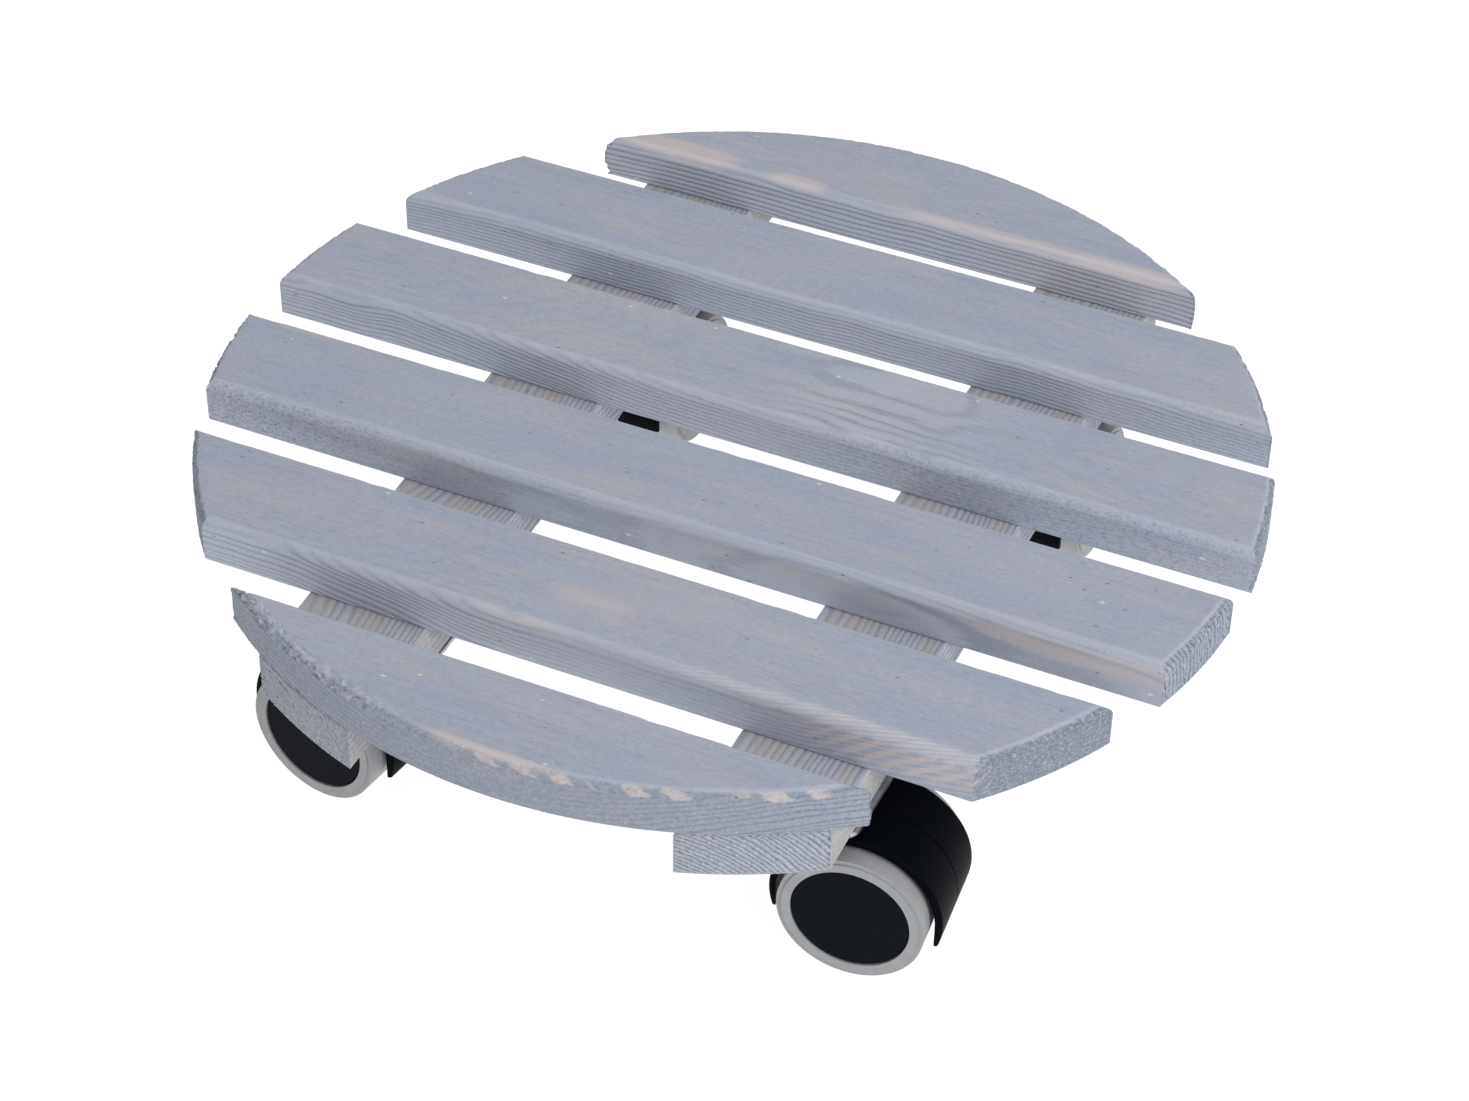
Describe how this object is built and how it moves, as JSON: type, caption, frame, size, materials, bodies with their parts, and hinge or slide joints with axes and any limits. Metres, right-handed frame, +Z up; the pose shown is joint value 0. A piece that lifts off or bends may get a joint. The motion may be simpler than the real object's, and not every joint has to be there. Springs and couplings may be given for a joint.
{
  "type": "plant pot caddy",
  "caption": "Round slatted wooden plant pot caddy: glazed slats across battens, on hooded twin-wheel swivel casters that roll and turn freely.",
  "frame": {"origin": "on the floor under the centre of the round deck", "axes": "+X along the slats to the right, +Y to the back across the slats, +Z up"},
  "size_m": [0.3796, 0.38, 0.096],
  "materials": {
    "glazed_slats": "blue-grey translucent glaze on brushed softwood, matte",
    "glazed_battens": "thin blue-grey glaze over pale raw softwood, matte",
    "hood_plastic": "moulded near-black nylon, satin",
    "cap_plastic": "moulded blue-black disc, satin",
    "core_plastic": "moulded black nylon",
    "grey_tyre": "soft light grey non-marking tread",
    "plate_steel": "bright zinc plate",
    "screw_steel": "zinc plated"
  },
  "bodies": {
    "deck": {"slat_1": "glazed_slats", "slat_2": "glazed_slats", "slat_3": "glazed_slats", "slat_4": "glazed_slats", "slat_5": "glazed_slats", "slat_6": "glazed_slats", "left_batten": "glazed_battens", "right_batten": "glazed_battens", "left_deck_screws": "screw_steel", "right_deck_screws": "screw_steel", "front_right_plate": "plate_steel", "front_right_plate_screws": "screw_steel", "front_right_stem": "plate_steel", "front_right_stem_ring": "plate_steel", "front_left_plate": "plate_steel", "front_left_plate_screws": "screw_steel", "front_left_stem": "plate_steel", "front_left_stem_ring": "plate_steel", "back_right_plate": "plate_steel", "back_right_plate_screws": "screw_steel", "back_right_stem": "plate_steel", "back_right_stem_ring": "plate_steel", "back_left_plate": "plate_steel", "back_left_plate_screws": "screw_steel", "back_left_stem": "plate_steel", "back_left_stem_ring": "plate_steel"},
    "front_right_caster": {"front_right_hood": "hood_plastic", "front_right_axle": "plate_steel"},
    "front_right_wheel_a": {"front_right_wheel_core_a": "core_plastic", "front_right_tyre_a": "grey_tyre", "front_right_hub_cap_a": "cap_plastic"},
    "front_right_wheel_b": {"front_right_wheel_core_b": "core_plastic", "front_right_tyre_b": "grey_tyre", "front_right_hub_cap_b": "cap_plastic"},
    "front_left_caster": {"front_left_hood": "hood_plastic", "front_left_axle": "plate_steel"},
    "front_left_wheel_a": {"front_left_wheel_core_a": "core_plastic", "front_left_tyre_a": "grey_tyre", "front_left_hub_cap_a": "cap_plastic"},
    "front_left_wheel_b": {"front_left_wheel_core_b": "core_plastic", "front_left_tyre_b": "grey_tyre", "front_left_hub_cap_b": "cap_plastic"},
    "back_right_caster": {"back_right_hood": "hood_plastic", "back_right_axle": "plate_steel"},
    "back_right_wheel_a": {"back_right_wheel_core_a": "core_plastic", "back_right_tyre_a": "grey_tyre", "back_right_hub_cap_a": "cap_plastic"},
    "back_right_wheel_b": {"back_right_wheel_core_b": "core_plastic", "back_right_tyre_b": "grey_tyre", "back_right_hub_cap_b": "cap_plastic"},
    "back_left_caster": {"back_left_hood": "hood_plastic", "back_left_axle": "plate_steel"},
    "back_left_wheel_a": {"back_left_wheel_core_a": "core_plastic", "back_left_tyre_a": "grey_tyre", "back_left_hub_cap_a": "cap_plastic"},
    "back_left_wheel_b": {"back_left_wheel_core_b": "core_plastic", "back_left_tyre_b": "grey_tyre", "back_left_hub_cap_b": "cap_plastic"}
  },
  "joints": [
    {"name": "front_right_swivel", "type": "hinge", "parent": "deck", "child": "front_right_caster", "pos_m": [0.0881, -0.1206, 0.061], "axis": [0, 0, 1], "continuous": true},
    {"name": "front_right_wheel_a_spin", "type": "hinge", "parent": "front_right_caster", "child": "front_right_wheel_a", "pos_m": [0.10503, -0.11906, 0.0254], "axis": [-0.0906, 0.9959, 0], "continuous": true},
    {"name": "front_right_wheel_b_spin", "type": "hinge", "parent": "front_right_caster", "child": "front_right_wheel_b", "pos_m": [0.10503, -0.11906, 0.0254], "axis": [-0.0906, 0.9959, 0], "continuous": true},
    {"name": "front_left_swivel", "type": "hinge", "parent": "deck", "child": "front_left_caster", "pos_m": [-0.0744, -0.1207, 0.061], "axis": [0, 0, 1], "continuous": true},
    {"name": "front_left_wheel_a_spin", "type": "hinge", "parent": "front_left_caster", "child": "front_left_wheel_a", "pos_m": [-0.0912, -0.11813, 0.0254], "axis": [-0.1513, -0.9885, 0], "continuous": true},
    {"name": "front_left_wheel_b_spin", "type": "hinge", "parent": "front_left_caster", "child": "front_left_wheel_b", "pos_m": [-0.0912, -0.11813, 0.0254], "axis": [-0.1513, -0.9885, 0], "continuous": true},
    {"name": "back_right_swivel", "type": "hinge", "parent": "deck", "child": "back_right_caster", "pos_m": [0.0825, 0.1205, 0.061], "axis": [0, 0, 1], "continuous": true},
    {"name": "back_right_wheel_a_spin", "type": "hinge", "parent": "back_right_caster", "child": "back_right_wheel_a", "pos_m": [0.0825, 0.1035, 0.0254], "axis": [1, 0, 0], "continuous": true},
    {"name": "back_right_wheel_b_spin", "type": "hinge", "parent": "back_right_caster", "child": "back_right_wheel_b", "pos_m": [0.0825, 0.1035, 0.0254], "axis": [1, 0, 0], "continuous": true},
    {"name": "back_left_swivel", "type": "hinge", "parent": "deck", "child": "back_left_caster", "pos_m": [-0.083, 0.1205, 0.061], "axis": [0, 0, 1], "continuous": true},
    {"name": "back_left_wheel_a_spin", "type": "hinge", "parent": "back_left_caster", "child": "back_left_wheel_a", "pos_m": [-0.083, 0.1035, 0.0254], "axis": [1, 0, 0], "continuous": true},
    {"name": "back_left_wheel_b_spin", "type": "hinge", "parent": "back_left_caster", "child": "back_left_wheel_b", "pos_m": [-0.083, 0.1035, 0.0254], "axis": [1, 0, 0], "continuous": true}
  ]
}
